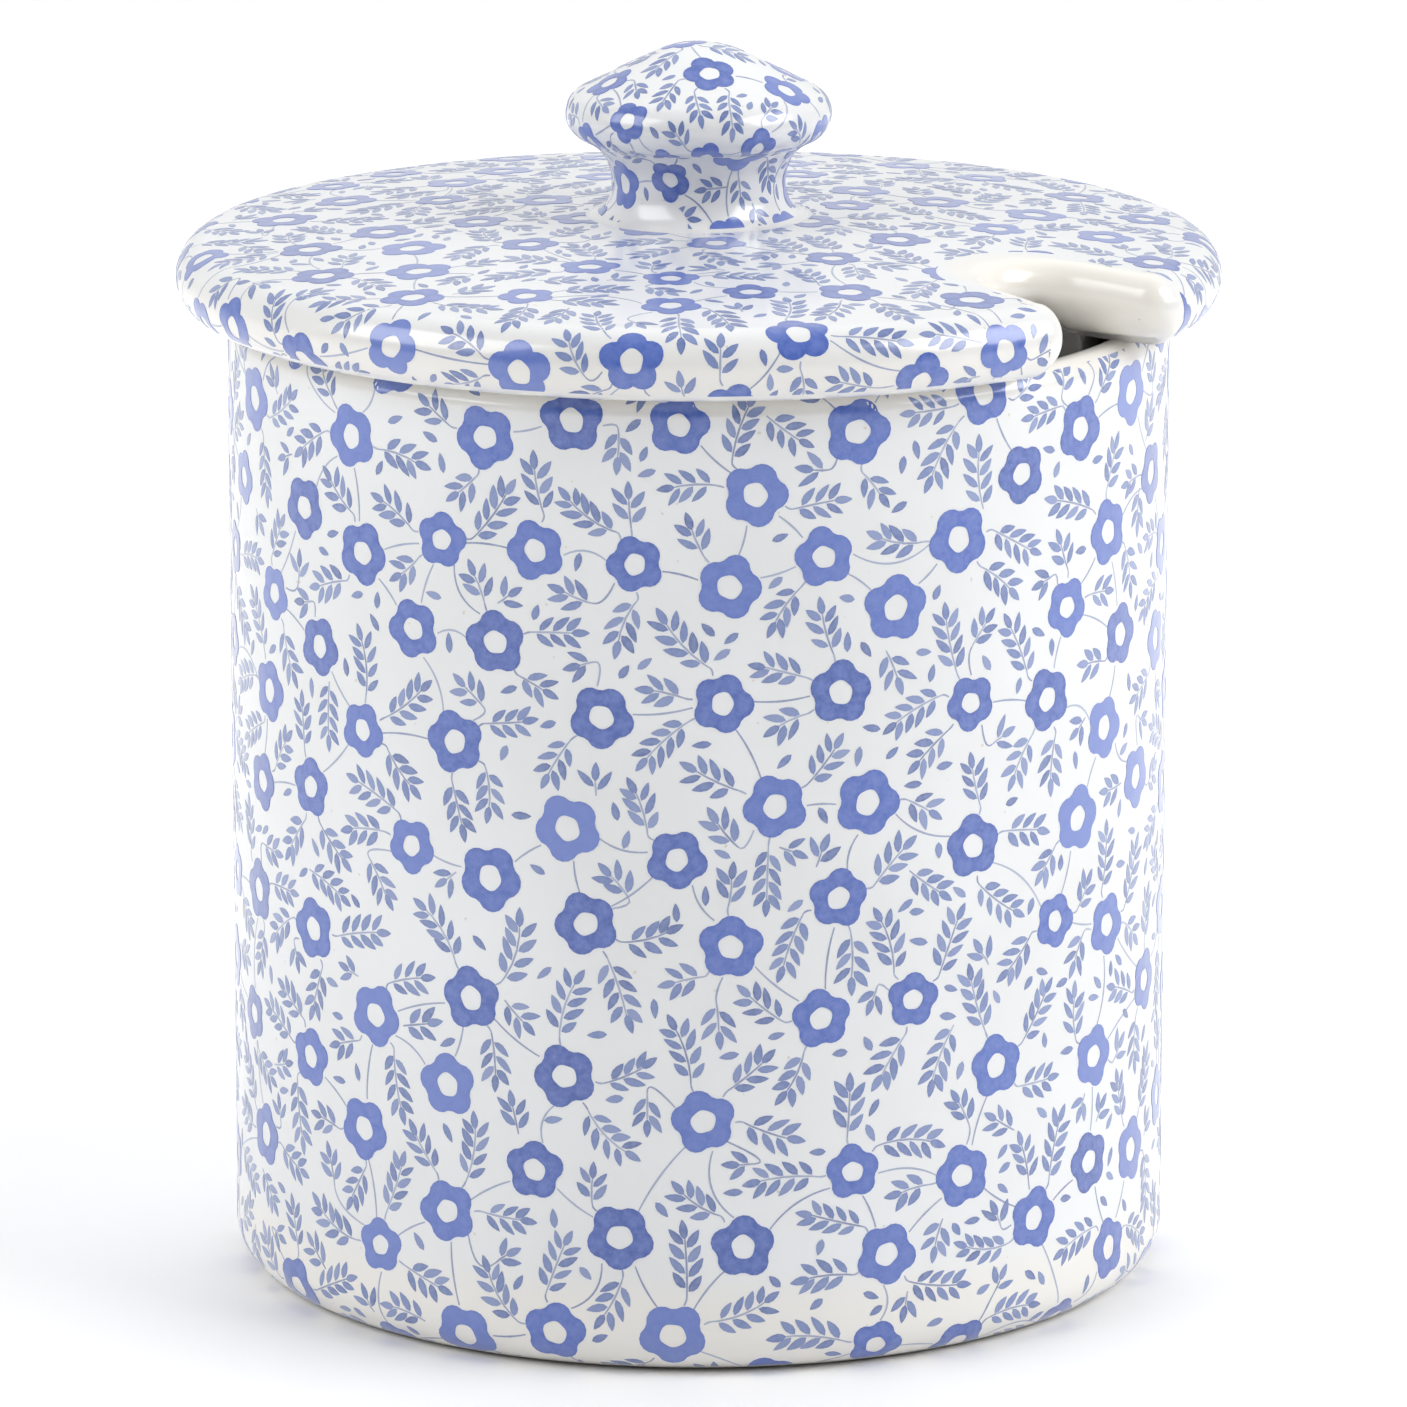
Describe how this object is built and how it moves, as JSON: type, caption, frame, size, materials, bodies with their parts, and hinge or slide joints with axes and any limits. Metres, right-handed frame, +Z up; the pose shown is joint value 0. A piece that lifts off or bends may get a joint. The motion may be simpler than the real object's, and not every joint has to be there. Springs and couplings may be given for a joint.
{
  "type": "lidded preserve pot",
  "caption": "Straight round preserve pot in glazed earthenware with a small all-over flower print, a loose domed lid with a spoon notch, and a round finger knob.",
  "frame": {"origin": "centre of the foot, on the surface that the pot stands on", "axes": "+Z up along the pot's axis, +X out through the spoon notch"},
  "size_m": [0.0969, 0.098, 0.1166],
  "materials": {
    "glaze": "gloss",
    "print": "gloss",
    "clay": "matte"
  },
  "bodies": {
    "jar": {"jar": "glaze"},
    "lid": {"lid": "glaze", "knob": "glaze"}
  },
  "joints": [
    {"name": "lid_lift", "type": "slide", "parent": "jar", "child": "lid", "axis": [0, 0, 1], "range_m": [0, 0.12]}
  ]
}
